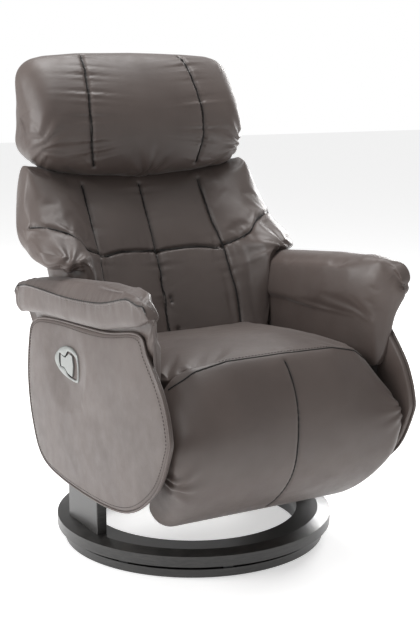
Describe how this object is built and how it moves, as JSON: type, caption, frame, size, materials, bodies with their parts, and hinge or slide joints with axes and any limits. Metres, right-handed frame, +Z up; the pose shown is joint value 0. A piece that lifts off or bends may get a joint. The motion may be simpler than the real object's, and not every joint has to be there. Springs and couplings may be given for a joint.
{
  "type": "recliner armchair",
  "caption": "Swivel recliner armchair: padded leather seat, winged back, tilting headrest, fold-up footrest, closed side panels with a release lever, on posts over a round wooden ring base",
  "frame": {"origin": "middle of the base ring on the floor, which is the swivel axis", "axes": "+Z up, -Y towards the sitter's front, -X the sitter's right (lever side)"},
  "size_m": [0.668, 0.8748, 1.12],
  "materials": {
    "stained_wood": "black stain, satin",
    "leather": "smooth brown, satin",
    "plain_wood": "raw",
    "black_steel": "satin powder coat",
    "bright_steel": "zinc plated",
    "silver_lever": "satin silver",
    "dark_plastic": "matt",
    "webbing": "woven elastic"
  },
  "bodies": {
    "floor_base": {"floor_ring": "stained_wood", "floor_pads": "dark_plastic", "glide_blocks": "dark_plastic"},
    "turntable": {"turning_ring": "stained_wood", "centring_hoop": "black_steel", "retaining_clips": "bright_steel", "post_right": "stained_wood", "post_left": "stained_wood", "post_screws": "bright_steel", "front_beam": "black_steel", "rear_beam": "black_steel", "seat_rail_right": "black_steel", "seat_rail_left": "black_steel", "seat_frame": "plain_wood", "seat_webbing": "webbing", "seat_cushion": "leather", "side_panel_right": "leather", "side_panel_left": "leather", "arm_core_right": "plain_wood", "arm_core_left": "plain_wood", "arm_inner_right": "leather", "arm_inner_left": "leather", "arm_pad_right": "leather", "arm_pad_left": "leather", "lever_cup": "silver_lever", "lever_pin": "bright_steel", "footrest_pins": "bright_steel", "recline_pins": "bright_steel", "strut_bracket": "black_steel", "strut_pin": "bright_steel"},
    "lever": {"release_lever": "silver_lever"},
    "footrest": {"footrest_pad": "leather", "footrest_board": "plain_wood", "footrest_hinge_right": "black_steel", "footrest_hinge_left": "black_steel"},
    "back": {"back_cushion": "leather", "back_frame": "black_steel", "back_webbing": "webbing", "back_rear_pad": "leather", "recline_plate_right": "black_steel", "recline_plate_left": "black_steel", "recline_crossbar": "bright_steel", "head_ratchet_lower_right": "black_steel", "head_ratchet_lower_left": "black_steel", "head_pins": "bright_steel"},
    "strut_cylinder": {"strut_tube": "black_steel"},
    "strut_piston": {"strut_rod": "bright_steel"},
    "head": {"head_pillow": "leather", "head_board": "plain_wood", "head_rear_pad": "leather", "head_ratchet_upper_right": "black_steel", "head_ratchet_upper_left": "black_steel"}
  },
  "joints": [
    {"name": "swivel", "type": "hinge", "parent": "floor_base", "child": "turntable", "pos_m": [0, 0, 0.026], "axis": [0, 0, 1], "continuous": true},
    {"name": "lever_pull", "type": "hinge", "parent": "turntable", "child": "lever", "pos_m": [-0.3032, 0.066, 0.434], "axis": [0, 0, -1], "range_deg": [0, 35], "stiffness_Nm_per_rad": 0.3, "springref_deg": -5.73},
    {"name": "footrest_lift", "type": "hinge", "parent": "turntable", "child": "footrest", "pos_m": [0, -0.352, 0.432], "axis": [-1, 0, 0], "range_deg": [0, 80]},
    {"name": "back_recline", "type": "hinge", "parent": "turntable", "child": "back", "pos_m": [0, 0.195, 0.43], "axis": [-1, 0, 0], "range_deg": [0, 35]},
    {"name": "strut_swing", "type": "hinge", "parent": "turntable", "child": "strut_cylinder", "pos_m": [0, -0.15, 0.338], "axis": [1, 0, 0], "range_deg": [0, 3.5]},
    {"name": "strut_slide", "type": "slide", "parent": "strut_cylinder", "child": "strut_piston", "axis": [0, 0.9997, 0.0232], "range_m": [-0.049, 0]},
    {"name": "head_tilt", "type": "hinge", "parent": "back", "child": "head", "pos_m": [0, 0.292, 0.838], "axis": [1, 0, 0], "range_deg": [0, 28]}
  ],
  "couplings": [
    {"joint": "strut_swing", "follows": "back_recline", "ratio": 0.0898},
    {"joint": "strut_slide", "follows": "back_recline", "m_per_rad": -0.0776}
  ]
}
